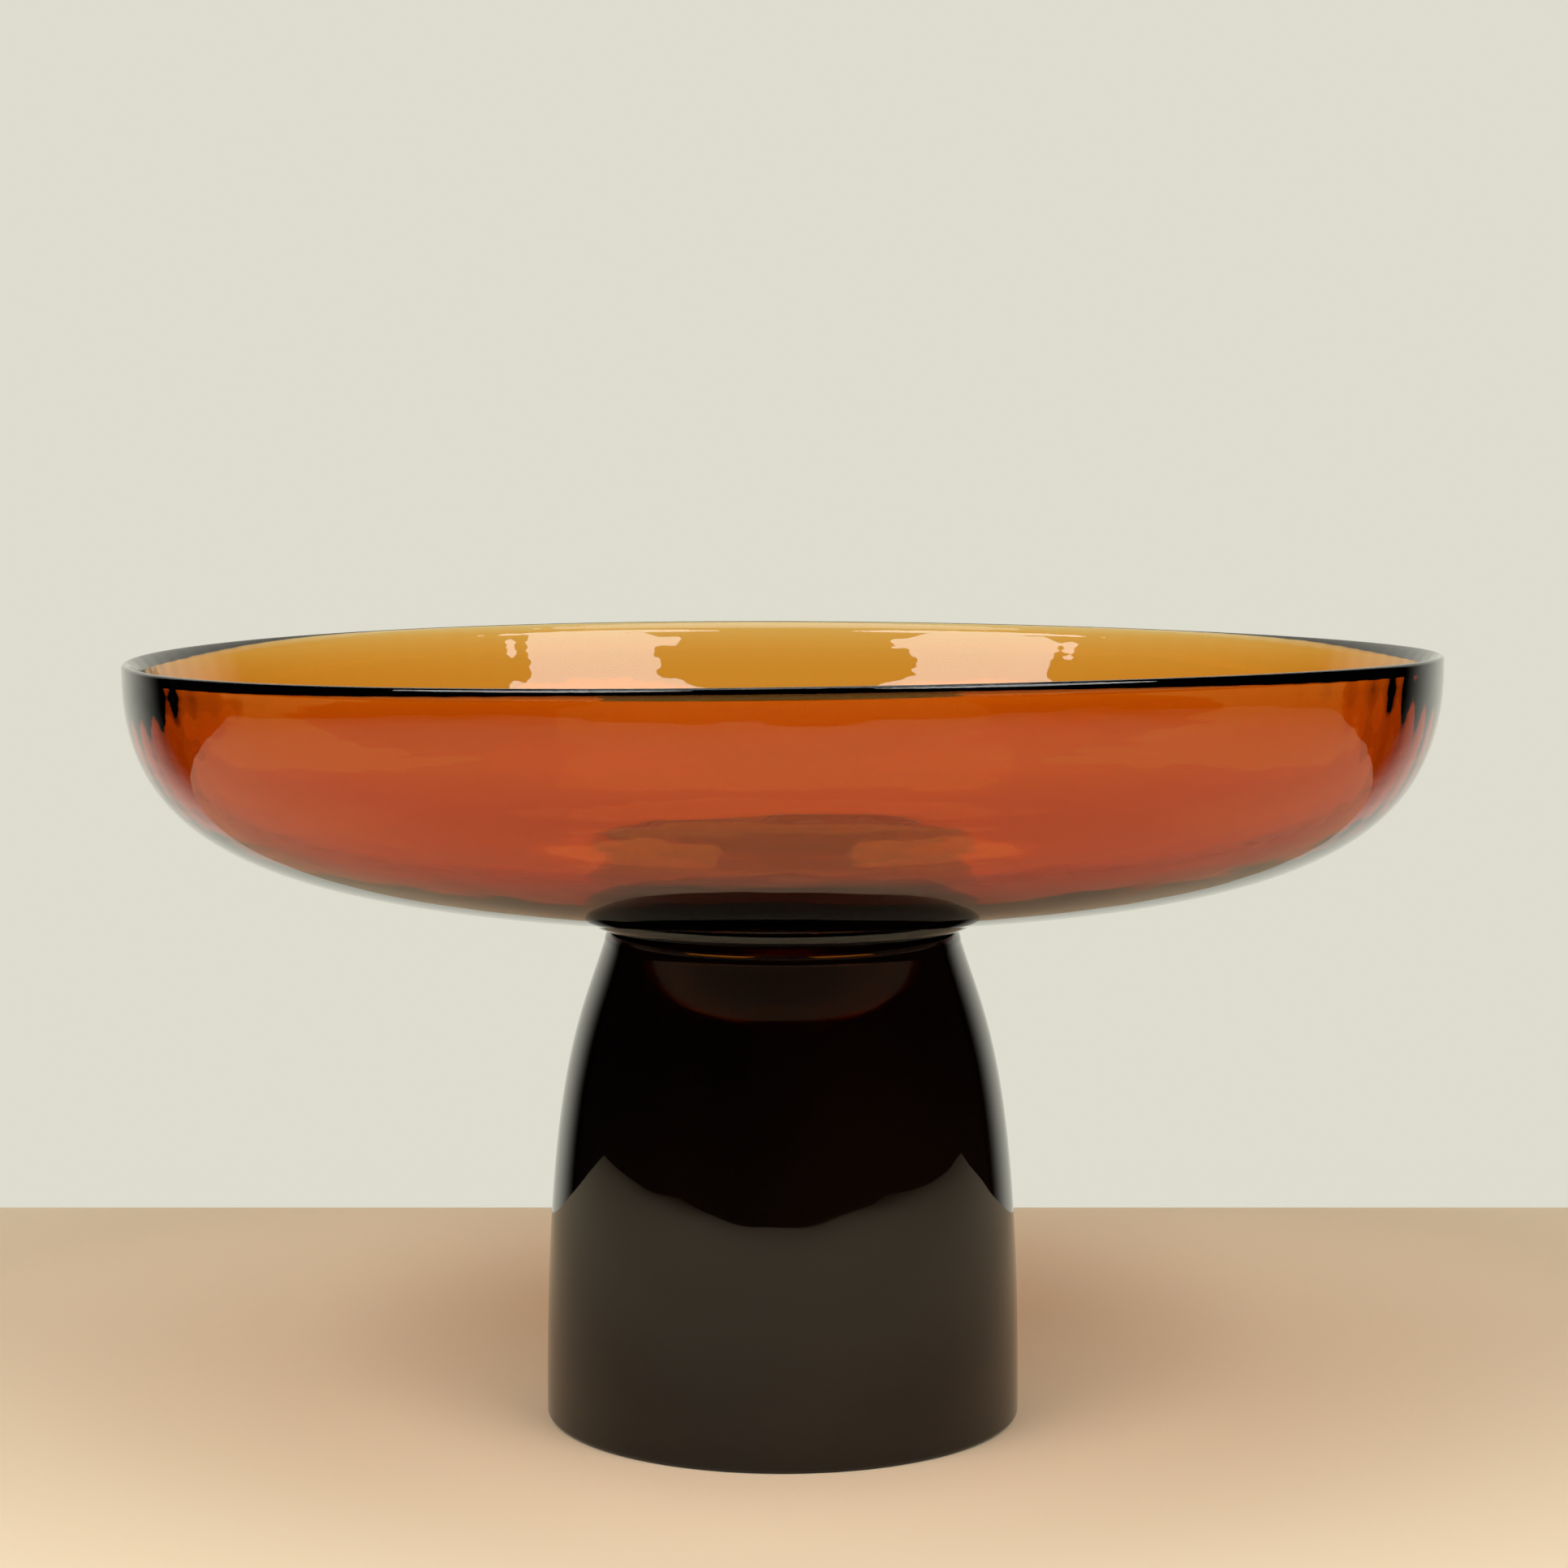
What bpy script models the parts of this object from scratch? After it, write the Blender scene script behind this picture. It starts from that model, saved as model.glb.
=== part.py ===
"""Footed glass bowl: a wide amber bowl on a round wafer and a hollow dark glass foot.

The three glass pieces are turned about +Z. The foot stands on z = 0, the wafer sits on
the foot's flat top, and the bowl sits on the wafer. Lengths are in metres.
Run with: blender --background --python part.py
"""
import math

import bpy

# Driving dimensions
BOWL_RADIUS = 0.1500        # outside, where the side stands upright
BOWL_HEIGHT = 0.0566        # from the bowl's flat seat to the top of its rim
BOWL_SEAT_RADIUS = 0.0445   # of the flat underside, from which the bowl curves up
BOWL_FLOOR = 0.0065         # glass thickness over the seat
BOWL_WALL = 0.0050          # glass thickness of the side, below the rim's taper
RIM_THICKNESS = 0.0034      # glass thickness at the foot of the rim's bevel
RIM_TAPER = 0.0130          # height over which the side thins towards the bevel
RIM_BEVEL = 0.0028          # height of the blunt bevel inside the rim
RIM_CORNER = 0.0009         # rounding outside the rim
WAFER_RADIUS = 0.0454       # at the crest of the bulging edge
WAFER_THICKNESS = 0.0066
WAFER_CREST = 0.0026        # height of the crest above the wafer's lower face
WAFER_BULGE = 0.0036        # how far the edge stands out past the flat faces
FOOT_HEIGHT = 0.1146
FOOT_BASE_RADIUS = 0.0552
FOOT_TOP_RADIUS = 0.0414    # where the side meets the shoulder
FOOT_SHOULDER = 0.0036      # rounding between the foot's side and its flat top
FOOT_WALL = 0.0060
FOOT_CROWN = 0.0090         # glass thickness over the hollow
FOOT_COVE = 0.0120          # rounding inside the hollow, between wall and crown
FOOT_EDGE = 0.0012          # fire-polished rounding of the ring it stands on
SEAT_GAP = 0.0003           # left between pieces that touch

# Shape of the outlines, as shares of the span that each curve crosses
BOWL_UNDERSIDE_FULLNESS = 0.735
BOWL_SIDE_FULLNESS = 0.693
BOWL_THINNING = 1.5         # above 1 the glass thins early, close to the seat
RIM_BEVEL_FULLNESS = 1.35   # 1 is a straight bevel and 2 a quarter of an ellipse
FOOT_SIDE_FULLNESS = 0.735
FOOT_SHOULDER_FULLNESS = 0.172
FOOT_LEAN = math.radians(17.0)      # of the foot's side at its top, from upright

# Fineness
TURN_STEPS = 72
CURVE_STEPS = 16
ROUND_STEPS = 5
MERGE_DISTANCE = 0.00001

COLLECTION_NAME = "footed_glass_bowl"
AMBER = (0.78, 0.30, 0.045, 1.0)
DARK_AMBER = (0.10, 0.035, 0.012, 1.0)
BLACK_GLASS = (0.006, 0.006, 0.007, 1.0)


def clear_scene():
    for old in list(bpy.data.objects):
        bpy.data.objects.remove(old, do_unlink=True)


def make_collection(name):
    collection = bpy.data.collections.new(name)
    bpy.context.scene.collection.children.link(collection)
    return collection


def glass_material(name, color, transmission):
    material = bpy.data.materials.new(name)
    material.use_nodes = True
    shader = material.node_tree.nodes["Principled BSDF"]
    shader.inputs["Base Color"].default_value = color
    shader.inputs["Roughness"].default_value = 0.03
    shader.inputs["Metallic"].default_value = 0.0
    shader.inputs["IOR"].default_value = 1.5
    shader.inputs["Transmission Weight"].default_value = transmission
    return material


def cubic(points, share):
    """Point and direction at a share of the way along a cubic curve."""
    a, b, c, d = points
    rest = 1.0 - share
    place = [rest ** 3 * a[i] + 3 * rest ** 2 * share * b[i]
             + 3 * rest * share ** 2 * c[i] + share ** 3 * d[i] for i in (0, 1)]
    slope = [3 * rest ** 2 * (b[i] - a[i]) + 6 * rest * share * (c[i] - b[i])
             + 3 * share ** 2 * (d[i] - c[i]) for i in (0, 1)]
    return place, slope


def curve_points(points, offset):
    """Outline along a cubic, moved to the left of its direction by offset(share)."""
    outline = []
    for step in range(CURVE_STEPS + 1):
        share = step / CURVE_STEPS
        (radius, height), (run, rise) = cubic(points, share)
        scale = offset(share) / math.hypot(run, rise)
        outline.append((radius - rise * scale, height + run * scale))
    return outline


def round_points(center, reach, start, end):
    """Outline along an arc; reach is its half width and half height."""
    angles = [math.radians(start + (end - start) * step / ROUND_STEPS)
              for step in range(ROUND_STEPS + 1)]
    return [(center[0] + reach[0] * math.cos(angle), center[1] + reach[1] * math.sin(angle))
            for angle in angles]


def without_repeats(outline):
    kept = outline[:1]
    for point in outline[1:]:
        if math.dist(point, kept[-1]) > MERGE_DISTANCE:
            kept.append(point)
    return kept


def turned(name, outline, material, collection, base_height):
    """Turn an outline that runs from the axis, down the outside and back to the axis."""
    outline = without_repeats(outline)
    mesh = bpy.data.meshes.new(name)
    edges = [(i, i + 1) for i in range(len(outline) - 1)]
    mesh.from_pydata([(radius, 0.0, height) for radius, height in outline], edges, [])
    mesh.materials.append(material)
    piece = bpy.data.objects.new(name, mesh)
    piece.location = (0.0, 0.0, base_height)
    collection.objects.link(piece)
    screw = piece.modifiers.new("Turn", "SCREW")
    screw.axis = "Z"
    screw.angle = math.tau
    screw.steps = TURN_STEPS
    screw.render_steps = TURN_STEPS
    screw.use_merge_vertices = True
    screw.merge_threshold = MERGE_DISTANCE
    screw.use_smooth_shade = True
    return piece


def bowl_outline():
    """From the floor's middle, up the inside, over the rim and down to the seat."""
    rise = BOWL_HEIGHT - RIM_BEVEL
    side = [(BOWL_SEAT_RADIUS, 0.0),
            (BOWL_SEAT_RADIUS + BOWL_UNDERSIDE_FULLNESS * (BOWL_RADIUS - BOWL_SEAT_RADIUS), 0.0),
            (BOWL_RADIUS, rise - BOWL_SIDE_FULLNESS * rise),
            (BOWL_RADIUS, rise)]

    def thickness(share):
        height = cubic(side, share)[0][1]
        near_rim = max(0.0, (height - rise) / RIM_TAPER + 1.0)
        wall = BOWL_WALL + (BOWL_FLOOR - BOWL_WALL) * (1.0 - share) ** BOWL_THINNING
        return wall - (BOWL_WALL - RIM_THICKNESS) * near_rim ** 2

    inside = curve_points(side, thickness)
    outside = curve_points(side, lambda share: 0.0)
    return [(0.0, BOWL_FLOOR)] + inside + rim_points(rise) + outside[::-1] + [(0.0, 0.0)]


def rim_points(rise):
    """Over the rim: a blunt bevel on the inside, then a small rounding on the outside."""
    width = RIM_THICKNESS - RIM_CORNER
    power = 2.0 / RIM_BEVEL_FULLNESS
    bevel = []
    for step in range(1, ROUND_STEPS + 1):
        turn = math.pi / 2 * step / ROUND_STEPS
        bevel.append((BOWL_RADIUS - RIM_CORNER - width * math.cos(turn) ** power,
                      rise + RIM_BEVEL * math.sin(turn) ** power))
    corner = round_points((BOWL_RADIUS - RIM_CORNER, BOWL_HEIGHT - RIM_CORNER),
                          (RIM_CORNER, RIM_CORNER), 90, 0)
    return bevel + corner


def wafer_outline():
    """A flat disc whose edge bulges out all round, most of all low down."""
    flat = WAFER_RADIUS - WAFER_BULGE
    upper = round_points((flat, WAFER_CREST), (WAFER_BULGE, WAFER_THICKNESS - WAFER_CREST), 90, 0)
    lower = round_points((flat, WAFER_CREST), (WAFER_BULGE, WAFER_CREST), 0, -90)
    return [(0.0, WAFER_THICKNESS)] + upper + lower + [(0.0, 0.0)]


def foot_outline():
    """From the middle of the flat top, down the outside and up inside the hollow."""
    shoulder_base = FOOT_HEIGHT - FOOT_SHOULDER
    top = (FOOT_TOP_RADIUS, shoulder_base)
    span = shoulder_base - FOOT_EDGE
    pull = FOOT_SHOULDER_FULLNESS * span
    side = [(FOOT_BASE_RADIUS, FOOT_EDGE),
            (FOOT_BASE_RADIUS, FOOT_EDGE + FOOT_SIDE_FULLNESS * span),
            (top[0] + pull * math.sin(FOOT_LEAN), top[1] - pull * math.cos(FOOT_LEAN)),
            top]
    outside = curve_points(side, lambda share: 0.0)
    inside = curve_points(side, lambda share: FOOT_WALL)
    shoulder = round_points((FOOT_TOP_RADIUS - FOOT_SHOULDER, shoulder_base),
                            (FOOT_SHOULDER, FOOT_SHOULDER), 90, 0)
    inner_base = FOOT_BASE_RADIUS - FOOT_WALL
    outer_edge = round_points((FOOT_BASE_RADIUS - FOOT_EDGE, FOOT_EDGE),
                              (FOOT_EDGE, FOOT_EDGE), 0, -90)
    inner_edge = round_points((inner_base + FOOT_EDGE, FOOT_EDGE),
                              (FOOT_EDGE, FOOT_EDGE), -90, -180)
    crown = FOOT_HEIGHT - FOOT_CROWN
    wall = [point for point in inside if point[1] < crown - FOOT_COVE]
    above = next(point for point in inside if point[1] >= crown - FOOT_COVE)
    below = wall[-1]
    share = (crown - FOOT_COVE - below[1]) / (above[1] - below[1])
    cove_radius = below[0] + share * (above[0] - below[0])
    cove = round_points((cove_radius - FOOT_COVE, crown - FOOT_COVE),
                        (FOOT_COVE, FOOT_COVE), 0, 90)
    return ([(0.0, FOOT_HEIGHT)] + shoulder + outside[::-1] + outer_edge + inner_edge
            + wall + cove + [(0.0, crown)])


def build():
    clear_scene()
    collection = make_collection(COLLECTION_NAME)
    wafer_base = FOOT_HEIGHT + SEAT_GAP
    bowl_base = wafer_base + WAFER_THICKNESS + SEAT_GAP
    turned("foot", foot_outline(), glass_material("black_glass", BLACK_GLASS, 0.2),
           collection, 0.0)
    turned("joining_wafer", wafer_outline(),
           glass_material("dark_amber_glass", DARK_AMBER, 0.6), collection, wafer_base)
    turned("bowl", bowl_outline(), glass_material("amber_glass", AMBER, 1.0),
           collection, bowl_base)


build()
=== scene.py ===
"""Looks of the footed glass bowl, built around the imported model.

Three turned pieces of glass replace the three CAD nodes: a clear amber bowl whose rim
wavers and whose inner wall ripples as hand-worked glass does, a dark amber wafer with a
bulging edge, and a glossy black foot. Lengths are in metres.
"""
import math

import bpy
import numpy as np
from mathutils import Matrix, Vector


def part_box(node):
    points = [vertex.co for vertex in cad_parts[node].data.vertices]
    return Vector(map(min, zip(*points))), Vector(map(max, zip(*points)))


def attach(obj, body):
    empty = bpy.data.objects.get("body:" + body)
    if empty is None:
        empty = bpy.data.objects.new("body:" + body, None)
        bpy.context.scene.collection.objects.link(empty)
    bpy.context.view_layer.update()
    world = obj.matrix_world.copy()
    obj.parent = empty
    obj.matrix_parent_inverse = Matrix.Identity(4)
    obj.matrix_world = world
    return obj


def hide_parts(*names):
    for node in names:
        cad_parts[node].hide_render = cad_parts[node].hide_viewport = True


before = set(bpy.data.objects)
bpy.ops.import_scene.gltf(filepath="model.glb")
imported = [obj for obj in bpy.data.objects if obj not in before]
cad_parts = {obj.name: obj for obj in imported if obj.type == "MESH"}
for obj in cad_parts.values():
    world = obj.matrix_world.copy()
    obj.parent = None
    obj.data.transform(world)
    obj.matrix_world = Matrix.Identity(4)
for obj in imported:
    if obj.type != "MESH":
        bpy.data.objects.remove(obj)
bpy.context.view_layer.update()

# Glass shape, repeated from the CAD model where its boxes don't give it
BOWL_SEAT_RADIUS = 0.0445
BOWL_FLOOR = 0.0065
BOWL_WALL = 0.0050
RIM_THICKNESS = 0.0034
RIM_TAPER = 0.0130
RIM_CORNER = 0.0009
RIM_BEVEL = 0.0028
RIM_BEVEL_FULLNESS = 1.35
WAFER_CREST = 0.0026
WAFER_BULGE = 0.0036
FOOT_TOP_RADIUS = 0.0414
FOOT_SHOULDER = 0.0036
FOOT_WALL = 0.0060
FOOT_CROWN = 0.0090
FOOT_COVE = 0.0120
FOOT_EDGE = 0.0012
BOWL_UNDERSIDE_FULLNESS = 0.735
BOWL_SIDE_FULLNESS = 0.693
BOWL_THINNING = 1.5
FOOT_SIDE_FULLNESS = 0.735
FOOT_SHOULDER_FULLNESS = 0.172
FOOT_LEAN = math.radians(17.0)

# Unevenness of hand-worked glass, which the CAD model doesn't have
RIM_WAVER = 0.001           # about as far as the rim strays up and down
RIM_DROP = 0.0004           # how much lower the rim lies on average
RIPPLES = 96                # upright ripples round the bowl's inner wall
RIPPLE_DEPTH = 0.00004
INNER_WALL_TURN = 0.1       # least share of a normal that points inwards on the inner wall

# Places read from the frame
BOWL_LOW, BOWL_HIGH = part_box("bowl")
WAFER_LOW, WAFER_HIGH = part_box("joining_wafer")
FOOT_LOW, FOOT_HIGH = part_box("foot")
BOWL_RADIUS = BOWL_HIGH.x
BOWL_HEIGHT = BOWL_HIGH.z - BOWL_LOW.z
WAFER_RADIUS = WAFER_HIGH.x
FOOT_BASE_RADIUS = FOOT_HIGH.x
FOOT_HEIGHT = FOOT_HIGH.z
CONTACT_GAP = 0.00002       # left between the hot-joined faces

# Fineness
TURN_STEPS = 576
CURVE_STEPS = 60
ROUND_STEPS = 12

# Glass; a density works with the colour to absorb light along the way through
GLASS_IOR = 1.5
AMBER, AMBER_DENSITY = (0.93, 0.665, 0.0, 1.0), 660.0
DARK_AMBER, DARK_AMBER_DENSITY = (0.80, 0.45, 0.0, 1.0), 1300.0
BLACK = (0.0010, 0.0009, 0.0009, 1.0)
BROWN_BLACK = (0.0060, 0.0025, 0.0012, 1.0)

# Stage, lights and camera; angles in degrees
BACKDROP_COLOR = (0.729, 0.716, 0.618)
BACKDROP_GLOW = 1.1
BACKDROP_WALL, BACKDROP_BOTTOM, BACKDROP_TOP, BACKDROP_REACH = 1.3, -1.4, 2.2, 2.0
FADE_START, FADE_END = 0.75, 1.75       # sideways from the middle, where the glow dies away
FLOOR_COLOR = (0.60, 0.49, 0.34)
FLOOR_FRONT, FLOOR_BACK, FLOOR_SIDE = -1.05, 0.22, 1.3
ROOM_COLOR = (0.004, 0.004, 0.004, 1.0)
LIGHTS_AIM = (0.0, 0.0, 0.16)
CAMERA_PLACE = (0.0003, -0.7855, 0.2174)
CAMERA_TILT = 5.112         # down from level


def cubic(points, share):
    """Point and direction at a share of the way along a cubic curve."""
    a, b, c, d = points
    rest = 1.0 - share
    place = [rest ** 3 * a[i] + 3 * rest ** 2 * share * b[i]
             + 3 * rest * share ** 2 * c[i] + share ** 3 * d[i] for i in (0, 1)]
    slope = [3 * rest ** 2 * (b[i] - a[i]) + 6 * rest * share * (c[i] - b[i])
             + 3 * share ** 2 * (d[i] - c[i]) for i in (0, 1)]
    return place, slope


def curve_points(points, offset):
    """Outline along a cubic, moved to the left of its direction by offset(share)."""
    outline = []
    for step in range(CURVE_STEPS + 1):
        share = step / CURVE_STEPS
        (radius, height), (run, rise) = cubic(points, share)
        scale = offset(share) / math.hypot(run, rise)
        outline.append((radius - rise * scale, height + run * scale))
    return outline


def round_points(center, reach, start, end):
    """Outline along an arc; reach is its half width and half height."""
    angles = [math.radians(start + (end - start) * step / ROUND_STEPS)
              for step in range(ROUND_STEPS + 1)]
    return [(center[0] + reach[0] * math.cos(angle), center[1] + reach[1] * math.sin(angle))
            for angle in angles]


def bowl_outline():
    """From the floor's middle, up the inside, over the rim and down to the seat."""
    rise = BOWL_HEIGHT - RIM_BEVEL
    side = [(BOWL_SEAT_RADIUS, 0.0),
            (BOWL_SEAT_RADIUS + BOWL_UNDERSIDE_FULLNESS * (BOWL_RADIUS - BOWL_SEAT_RADIUS), 0.0),
            (BOWL_RADIUS, rise - BOWL_SIDE_FULLNESS * rise),
            (BOWL_RADIUS, rise)]

    def thickness(share):
        height = cubic(side, share)[0][1]
        near_rim = max(0.0, (height - rise) / RIM_TAPER + 1.0)
        wall = BOWL_WALL + (BOWL_FLOOR - BOWL_WALL) * (1.0 - share) ** BOWL_THINNING
        return wall - (BOWL_WALL - RIM_THICKNESS) * near_rim ** 2

    inside = curve_points(side, thickness)
    outside = curve_points(side, lambda share: 0.0)
    floor = [(share * BOWL_SEAT_RADIUS, BOWL_FLOOR) for share in (0.0, 0.3, 0.6, 0.9)]
    seat = [(share * BOWL_SEAT_RADIUS, 0.0) for share in (0.92, 0.6, 0.3, 0.0)]
    return floor + inside + rim_points(rise) + outside[-2::-1] + seat


def rim_points(rise):
    """Over the rim: a blunt bevel on the inside, then a small rounding on the outside."""
    width = RIM_THICKNESS - RIM_CORNER
    power = 2.0 / RIM_BEVEL_FULLNESS
    bevel = []
    for step in range(1, 2 * ROUND_STEPS + 1):
        turn = math.pi / 2 * step / (2 * ROUND_STEPS)
        bevel.append((BOWL_RADIUS - RIM_CORNER - width * math.cos(turn) ** power,
                      rise + RIM_BEVEL * math.sin(turn) ** power))
    corner = round_points((BOWL_RADIUS - RIM_CORNER, BOWL_HEIGHT - RIM_CORNER),
                          (RIM_CORNER, RIM_CORNER), 90, 0)
    return bevel + corner[1:] + [(BOWL_RADIUS, rise)]


def wafer_outline(thickness):
    """A flat disc whose edge bulges out all round, most of all low down."""
    flat = WAFER_RADIUS - WAFER_BULGE
    upper = round_points((flat, WAFER_CREST), (WAFER_BULGE, thickness - WAFER_CREST), 90, 0)
    lower = round_points((flat, WAFER_CREST), (WAFER_BULGE, WAFER_CREST), 0, -90)
    return ([(0.0, thickness), (flat / 2, thickness)] + upper + lower[1:]
            + [(flat / 2, 0.0), (0.0, 0.0)])


def foot_outline():
    """From the middle of the flat top, down the outside and up inside the hollow."""
    shoulder_base = FOOT_HEIGHT - FOOT_SHOULDER
    top = (FOOT_TOP_RADIUS, shoulder_base)
    span = shoulder_base - FOOT_EDGE
    pull = FOOT_SHOULDER_FULLNESS * span
    side = [(FOOT_BASE_RADIUS, FOOT_EDGE),
            (FOOT_BASE_RADIUS, FOOT_EDGE + FOOT_SIDE_FULLNESS * span),
            (top[0] + pull * math.sin(FOOT_LEAN), top[1] - pull * math.cos(FOOT_LEAN)),
            top]
    outside = curve_points(side, lambda share: 0.0)
    inside = curve_points(side, lambda share: FOOT_WALL)
    shoulder = round_points((FOOT_TOP_RADIUS - FOOT_SHOULDER, shoulder_base),
                            (FOOT_SHOULDER, FOOT_SHOULDER), 90, 0)
    inner_base = FOOT_BASE_RADIUS - FOOT_WALL
    outer_edge = round_points((FOOT_BASE_RADIUS - FOOT_EDGE, FOOT_EDGE),
                              (FOOT_EDGE, FOOT_EDGE), 0, -90)
    inner_edge = round_points((inner_base + FOOT_EDGE, FOOT_EDGE),
                              (FOOT_EDGE, FOOT_EDGE), -90, -180)
    crown = FOOT_HEIGHT - FOOT_CROWN
    wall = [point for point in inside if point[1] < crown - FOOT_COVE]
    cove_radius = wall[-1][0]
    cove = round_points((cove_radius - FOOT_COVE, crown - FOOT_COVE),
                        (FOOT_COVE, FOOT_COVE), 0, 90)
    return ([(0.0, FOOT_HEIGHT), (FOOT_TOP_RADIUS / 2, FOOT_HEIGHT)] + shoulder
            + outside[-2::-1] + outer_edge[1:] + inner_edge + wall[1:] + cove
            + [((cove_radius - FOOT_COVE) / 2, crown), (0.0, crown)])


def still(radius, height, angle):
    """The waver of a piece that is a true turning."""
    return np.zeros_like(angle), np.zeros_like(angle)


def rim_waver(radius, height, angle):
    """How far the bowl strays upwards, from nothing at the seat to most at the rim; it never
    strays outwards.
    angle is measured from the front, towards +X."""
    lift = 0.8 * np.sin(angle) + 0.65 * np.cos(2 * angle) + 0.6 * np.sin(2 * angle)
    share = max(0.0, height / BOWL_HEIGHT) ** 1.5
    return np.zeros_like(angle), RIM_WAVER * share * lift - RIM_DROP * share


def turned(name, outline, base, waver):
    """A closed mesh turned about the axis from an outline that starts and ends on it."""
    angle = np.linspace(0.0, math.tau, TURN_STEPS, endpoint=False)
    rings = []
    for radius, height in outline[1:-1]:
        out, up = waver(radius, height, angle)
        rings.append(np.stack([(radius + out) * np.sin(angle), -(radius + out) * np.cos(angle),
                               base + height + up], axis=1))
    points = [(0.0, 0.0, base + outline[0][1])] + np.concatenate(rings).tolist()
    points.append((0.0, 0.0, base + outline[-1][1]))
    last = len(points) - 1

    def at(ring, step):
        return 1 + ring * TURN_STEPS + step % TURN_STEPS

    faces = [(0, at(0, step), at(0, step + 1)) for step in range(TURN_STEPS)]
    for ring in range(len(rings) - 1):
        faces += [(at(ring, step), at(ring + 1, step), at(ring + 1, step + 1), at(ring, step + 1))
                  for step in range(TURN_STEPS)]
    faces += [(at(len(rings) - 1, step), last, at(len(rings) - 1, step + 1))
              for step in range(TURN_STEPS)]
    mesh = bpy.data.meshes.new(name)
    mesh.from_pydata(points, [], faces)
    mesh.shade_smooth()
    piece = bpy.data.objects.new(name, mesh)
    bpy.context.scene.collection.objects.link(piece)
    return piece


def mark_bonded(piece, heights):
    """Face attribute that is 1 where the glass is fused to its neighbour, so nothing gleams."""
    bonded = piece.data.attributes.new("bonded", "FLOAT", "FACE")
    reach = WAFER_RADIUS - WAFER_BULGE
    for face in piece.data.polygons:
        flat = any(abs(face.center.z - height) < CONTACT_GAP for height in heights)
        near = math.hypot(face.center.x, face.center.y) < reach
        bonded.data[face.index].value = 1.0 if flat and near else 0.0


def ripple_inside(piece):
    """Upright ripples on the bowl's inner wall, strongest at the rim; the outside is smooth."""
    normals = [vertex.normal.copy() for vertex in piece.data.vertices]
    for vertex, normal in zip(piece.data.vertices, normals):
        radius = math.hypot(vertex.co.x, vertex.co.y)
        inward = -(normal.x * vertex.co.x + normal.y * vertex.co.y) / max(radius, CONTACT_GAP)
        if inward < INNER_WALL_TURN:
            continue
        angle = math.atan2(vertex.co.x, -vertex.co.y)
        phase = RIPPLES * angle + 2.0 * math.sin(3 * angle + 1.0) + 1.5 * math.sin(7 * angle)
        swell = 1.0 + 0.5 * math.sin(5 * angle + 2.0)
        rise = (vertex.co.z - BOWL_LOW.z) / BOWL_HEIGHT
        depth = RIPPLE_DEPTH * inward * rise ** 3 * swell * math.sin(phase)
        vertex.co.x += depth * math.sin(angle)
        vertex.co.y -= depth * math.cos(angle)


def new_material(name):
    material = bpy.data.materials.new(name)
    material.use_nodes = True
    nodes, links = material.node_tree.nodes, material.node_tree.links
    return material, nodes, links, nodes["Principled BSDF"]


def bonded_ior(nodes, links, shader, ior):
    """Index of refraction that falls to 1, no bending, where the faces are fused."""
    mask = nodes.new("ShaderNodeAttribute")
    mask.attribute_name = "bonded"
    blend = nodes.new("ShaderNodeMapRange")
    blend.inputs["To Min"].default_value = ior
    blend.inputs["To Max"].default_value = 1.0
    links.new(mask.outputs["Fac"], blend.inputs["Value"])
    links.new(blend.outputs["Result"], shader.inputs["IOR"])


def noise(nodes, links, scale, stretch):
    """Smooth noise over the object, squeezed in height by the factor stretch."""
    place = nodes.new("ShaderNodeTexCoord")
    mapping = nodes.new("ShaderNodeMapping")
    mapping.inputs["Scale"].default_value = (1.0, 1.0, stretch)
    texture = nodes.new("ShaderNodeTexNoise")
    texture.inputs["Scale"].default_value = scale
    links.new(place.outputs["Object"], mapping.inputs["Vector"])
    links.new(mapping.outputs["Vector"], texture.inputs["Vector"])
    return texture.outputs["Fac"]


def ranged(nodes, links, value, low, high):
    """Noise, which mostly lies from 0.3 to 0.7, spread over low to high."""
    spread = nodes.new("ShaderNodeMapRange")
    spread.inputs["From Min"].default_value = 0.3
    spread.inputs["From Max"].default_value = 0.7
    spread.inputs["To Min"].default_value = low
    spread.inputs["To Max"].default_value = high
    links.new(value, spread.inputs["Value"])
    return spread.outputs["Result"]


def uneven_surface(nodes, links, shader, scale, stretch, depth):
    """Faint unevenness of hand-worked glass, too fine to be modelled."""
    bump = nodes.new("ShaderNodeBump")
    bump.inputs["Distance"].default_value = depth
    links.new(noise(nodes, links, scale, stretch), bump.inputs["Height"])
    links.new(bump.outputs["Normal"], shader.inputs["Normal"])


def clear_glass(name, color, density):
    """Smooth clear glass whose colour deepens with the length of the way through it."""
    material, nodes, links, shader = new_material(name)
    shader.inputs["Base Color"].default_value = (1.0, 1.0, 1.0, 1.0)
    shader.inputs["Roughness"].default_value = 0.0
    shader.inputs["Transmission Weight"].default_value = 1.0
    bonded_ior(nodes, links, shader, GLASS_IOR)
    uneven_surface(nodes, links, shader, scale=30.0, stretch=5.0, depth=0.0001)
    depth = nodes.new("ShaderNodeVolumeAbsorption")
    depth.inputs["Color"].default_value = color
    depth.inputs["Density"].default_value = density
    links.new(depth.outputs["Volume"], nodes["Material Output"].inputs["Volume"])
    return material


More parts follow.
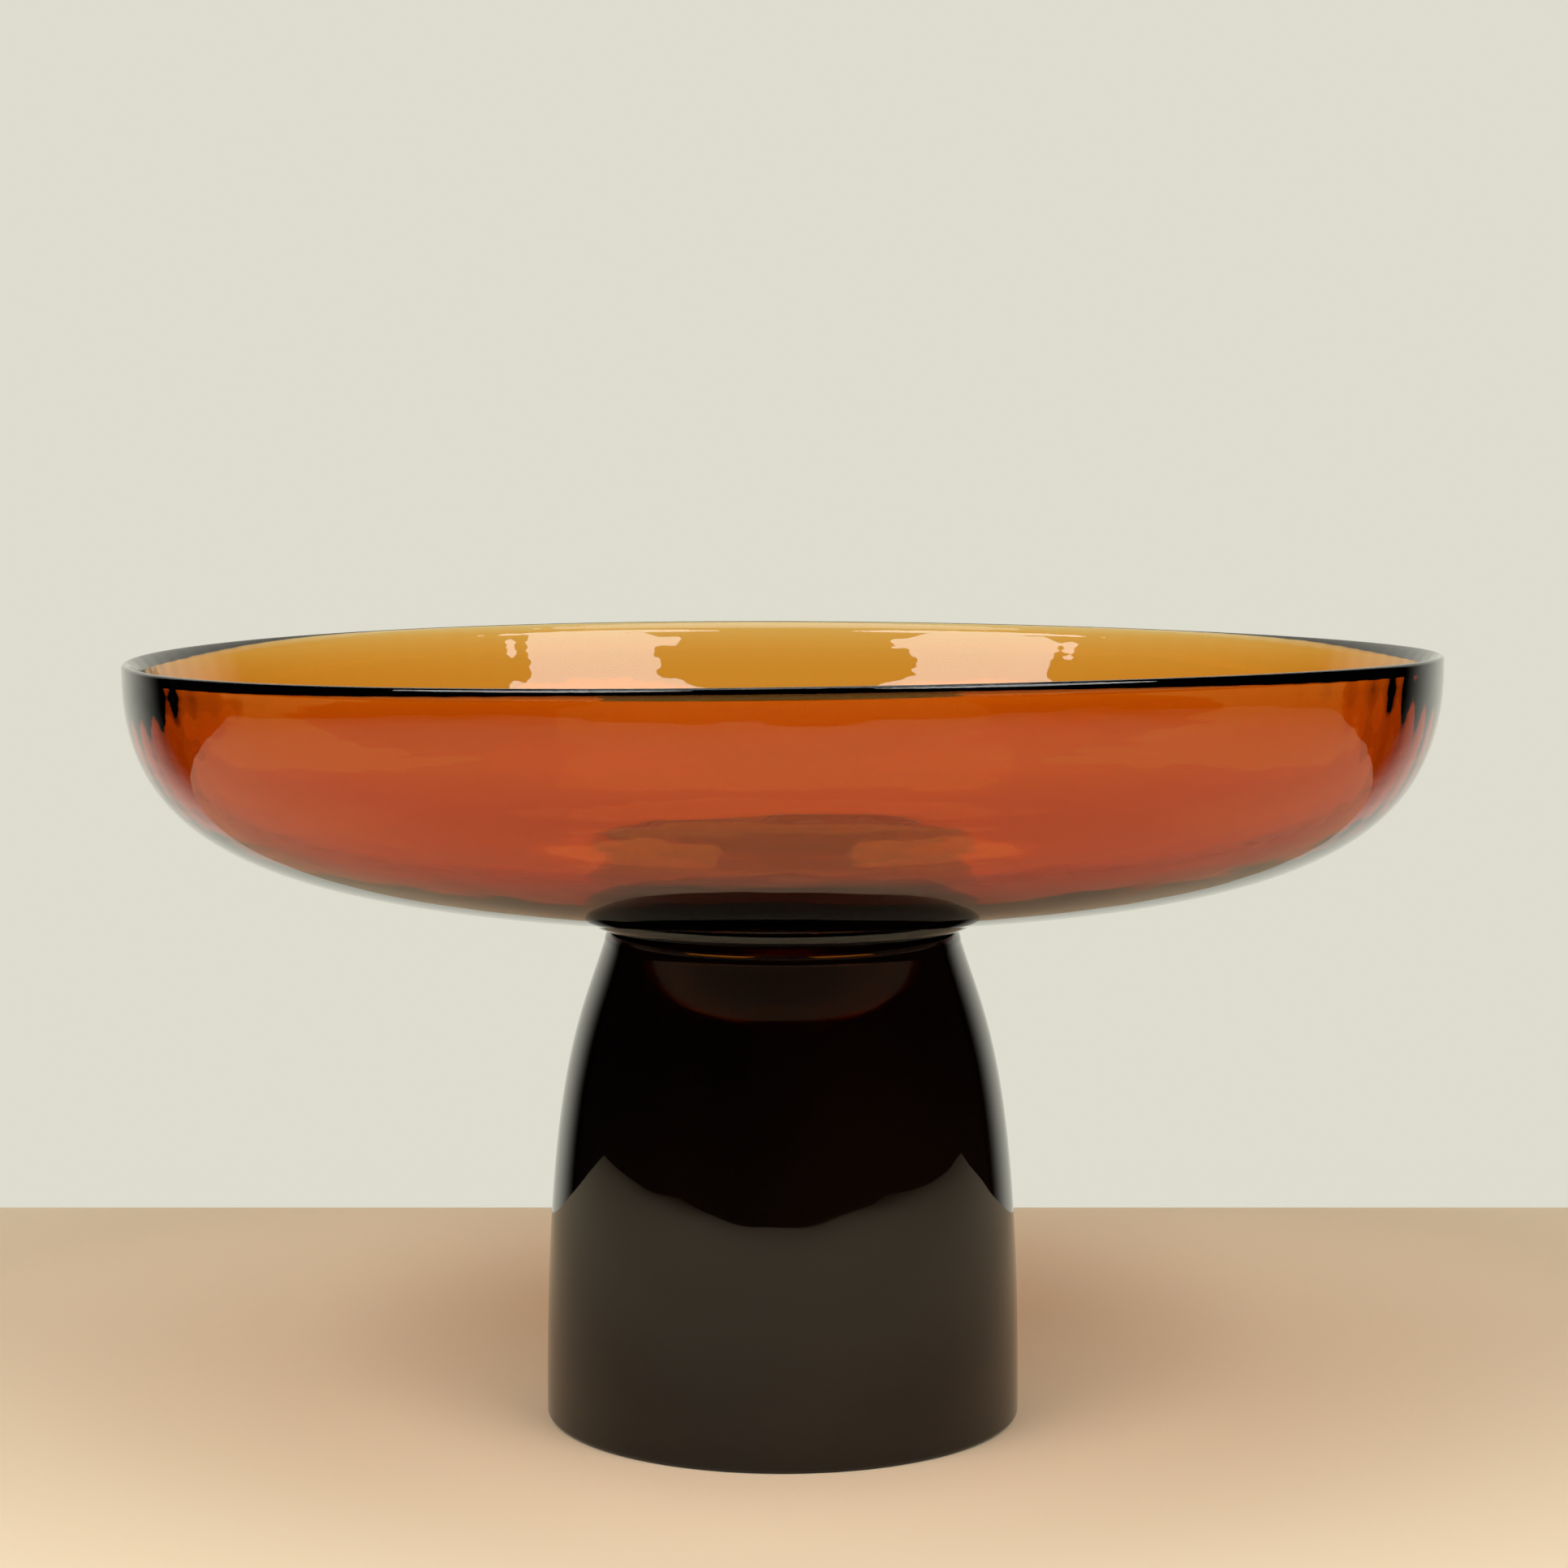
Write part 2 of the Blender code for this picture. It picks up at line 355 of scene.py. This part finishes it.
def black_glass(name):
    """Glossy black glass with faint brown clouds and faintly uneven gloss."""
    material, nodes, links, shader = new_material(name)
    tint = nodes.new("ShaderNodeMix")
    tint.data_type = "RGBA"
    tint.inputs["A"].default_value = BLACK
    tint.inputs["B"].default_value = BROWN_BLACK
    clouds = noise(nodes, links, scale=14.0, stretch=0.5)
    links.new(ranged(nodes, links, clouds, low=0.0, high=1.0), tint.inputs["Factor"])
    links.new(tint.outputs["Result"], shader.inputs["Base Color"])
    wear = noise(nodes, links, scale=60.0, stretch=1.0)
    links.new(ranged(nodes, links, wear, low=0.01, high=0.03), shader.inputs["Roughness"])
    shader.inputs["IOR"].default_value = GLASS_IOR
    shader.inputs["Specular IOR Level"].default_value = 0.4
    uneven_surface(nodes, links, shader, scale=22.0, stretch=2.0, depth=0.0001)
    return material


def build_glass():
    bowl = turned("bowl_glass", bowl_outline(), BOWL_LOW.z, rim_waver)
    bowl.data.materials.append(clear_glass("amber_glass_look", AMBER, AMBER_DENSITY))
    mark_bonded(bowl, [BOWL_LOW.z])
    ripple_inside(bowl)
    wafer_base = FOOT_HIGH.z + CONTACT_GAP
    wafer_top = BOWL_LOW.z - CONTACT_GAP
    wafer = turned("wafer_glass", wafer_outline(wafer_top - wafer_base), wafer_base, still)
    wafer.data.materials.append(clear_glass("dark_amber_look", DARK_AMBER, DARK_AMBER_DENSITY))
    mark_bonded(wafer, [wafer_top, wafer_base])
    foot = turned("foot_glass", foot_outline(), 0.0, still)
    foot.data.materials.append(black_glass("black_glass_look"))
    for piece, node, slot in ((bowl, "bowl", "amber_glass"),
                              (wafer, "joining_wafer", "dark_amber_glass"),
                              (foot, "foot", "black_glass")):
        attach(piece, "root")
        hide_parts(node)


def flat_stage(name, corners, color):
    """A matt stage panel, and its material's nodes, links and shader."""
    mesh = bpy.data.meshes.new(name)
    mesh.from_pydata(corners, [], [tuple(range(len(corners)))])
    panel = bpy.data.objects.new(name, mesh)
    bpy.context.scene.collection.objects.link(panel)
    material, nodes, links, shader = new_material(name)
    shader.inputs["Base Color"].default_value = (*color, 1.0)
    shader.inputs["Roughness"].default_value = 0.9
    shader.inputs["Specular IOR Level"].default_value = 0.0
    mesh.materials.append(material)
    return panel, nodes, links, shader


def build_floor():
    flat_stage("floor", [(-FLOOR_SIDE, FLOOR_FRONT, 0.0), (FLOOR_SIDE, FLOOR_FRONT, 0.0),
                         (FLOOR_SIDE, FLOOR_BACK, 0.0), (-FLOOR_SIDE, FLOOR_BACK, 0.0)],
               FLOOR_COLOR)


def build_backdrop():
    """A glowing wall behind the bowl that lights up the glass; the world shows in its place."""
    panel, nodes, links, shader = flat_stage(
        "backdrop", [(-BACKDROP_REACH, BACKDROP_WALL, BACKDROP_BOTTOM),
                     (BACKDROP_REACH, BACKDROP_WALL, BACKDROP_BOTTOM),
                     (BACKDROP_REACH, BACKDROP_WALL, BACKDROP_TOP),
                     (-BACKDROP_REACH, BACKDROP_WALL, BACKDROP_TOP)], (0.0, 0.0, 0.0))
    panel.visible_camera = False
    shader.inputs["Emission Color"].default_value = (*BACKDROP_COLOR, 1.0)
    place = nodes.new("ShaderNodeTexCoord")
    split = nodes.new("ShaderNodeSeparateXYZ")
    away = nodes.new("ShaderNodeMath")
    away.operation = "ABSOLUTE"
    fade = nodes.new("ShaderNodeMapRange")
    fade.interpolation_type = "SMOOTHSTEP"
    fade.inputs["From Min"].default_value = FADE_START
    fade.inputs["From Max"].default_value = FADE_END
    fade.inputs["To Min"].default_value = BACKDROP_GLOW
    fade.inputs["To Max"].default_value = 0.0
    links.new(place.outputs["Object"], split.inputs["Vector"])
    links.new(split.outputs["X"], away.inputs[0])
    links.new(away.outputs["Value"], fade.inputs["Value"])
    links.new(fade.outputs["Result"], shader.inputs["Emission Strength"])


def build_world():
    """Pale where it is looked at directly, dark where the glass mirrors the room."""
    world = bpy.data.worlds.new("studio")
    world.use_nodes = True
    nodes, links = world.node_tree.nodes, world.node_tree.links
    path = nodes.new("ShaderNodeLightPath")
    mix = nodes.new("ShaderNodeMix")
    mix.data_type = "RGBA"
    mix.inputs["A"].default_value = ROOM_COLOR
    mix.inputs["B"].default_value = (*BACKDROP_COLOR, 1.0)
    links.new(path.outputs["Is Camera Ray"], mix.inputs["Factor"])
    links.new(mix.outputs["Result"], nodes["Background"].inputs["Color"])
    bpy.context.scene.world = world


def softbox(name, azimuth, elevation, distance, width, height, radiance):
    """An oval light aimed at the bowl; azimuth is from the front, towards +X."""
    azimuth, elevation = math.radians(azimuth), math.radians(elevation)
    away = np.array([math.sin(azimuth) * math.cos(elevation),
                     -math.cos(azimuth) * math.cos(elevation), math.sin(elevation)])
    light = bpy.data.lights.new(name, "AREA")
    light.shape = "ELLIPSE"
    light.size, light.size_y = width, height
    light.energy = radiance * math.pi * math.pi / 4 * width * height
    lamp = bpy.data.objects.new(name, light)
    lamp.location = np.array(LIGHTS_AIM) + distance * away
    lamp.rotation_euler = (math.pi / 2 - elevation, 0.0, azimuth)
    bpy.context.scene.collection.objects.link(lamp)


def build_lights():
    softbox("softbox_right", azimuth=44, elevation=41, distance=1.1,
            width=0.82, height=0.82, radiance=7.0)
    softbox("softbox_left", azimuth=-47, elevation=41, distance=1.1,
            width=0.88, height=0.82, radiance=7.0)
    softbox("overhead", azimuth=0, elevation=90, distance=1.2,
            width=1.0, height=0.7, radiance=2.5)


def build_camera():
    camera = bpy.data.objects.new("camera", bpy.data.cameras.new("camera"))
    camera.data.lens = 78.2
    camera.data.sensor_width = 36.0
    camera.location = CAMERA_PLACE
    camera.rotation_euler = (math.radians(90 - CAMERA_TILT), 0.0, 0.0)
    bpy.context.scene.collection.objects.link(camera)
    bpy.context.scene.camera = camera


build_glass()
build_floor()
build_backdrop()
build_world()
build_lights()
build_camera()
bpy.context.scene.view_settings.view_transform = "Standard"
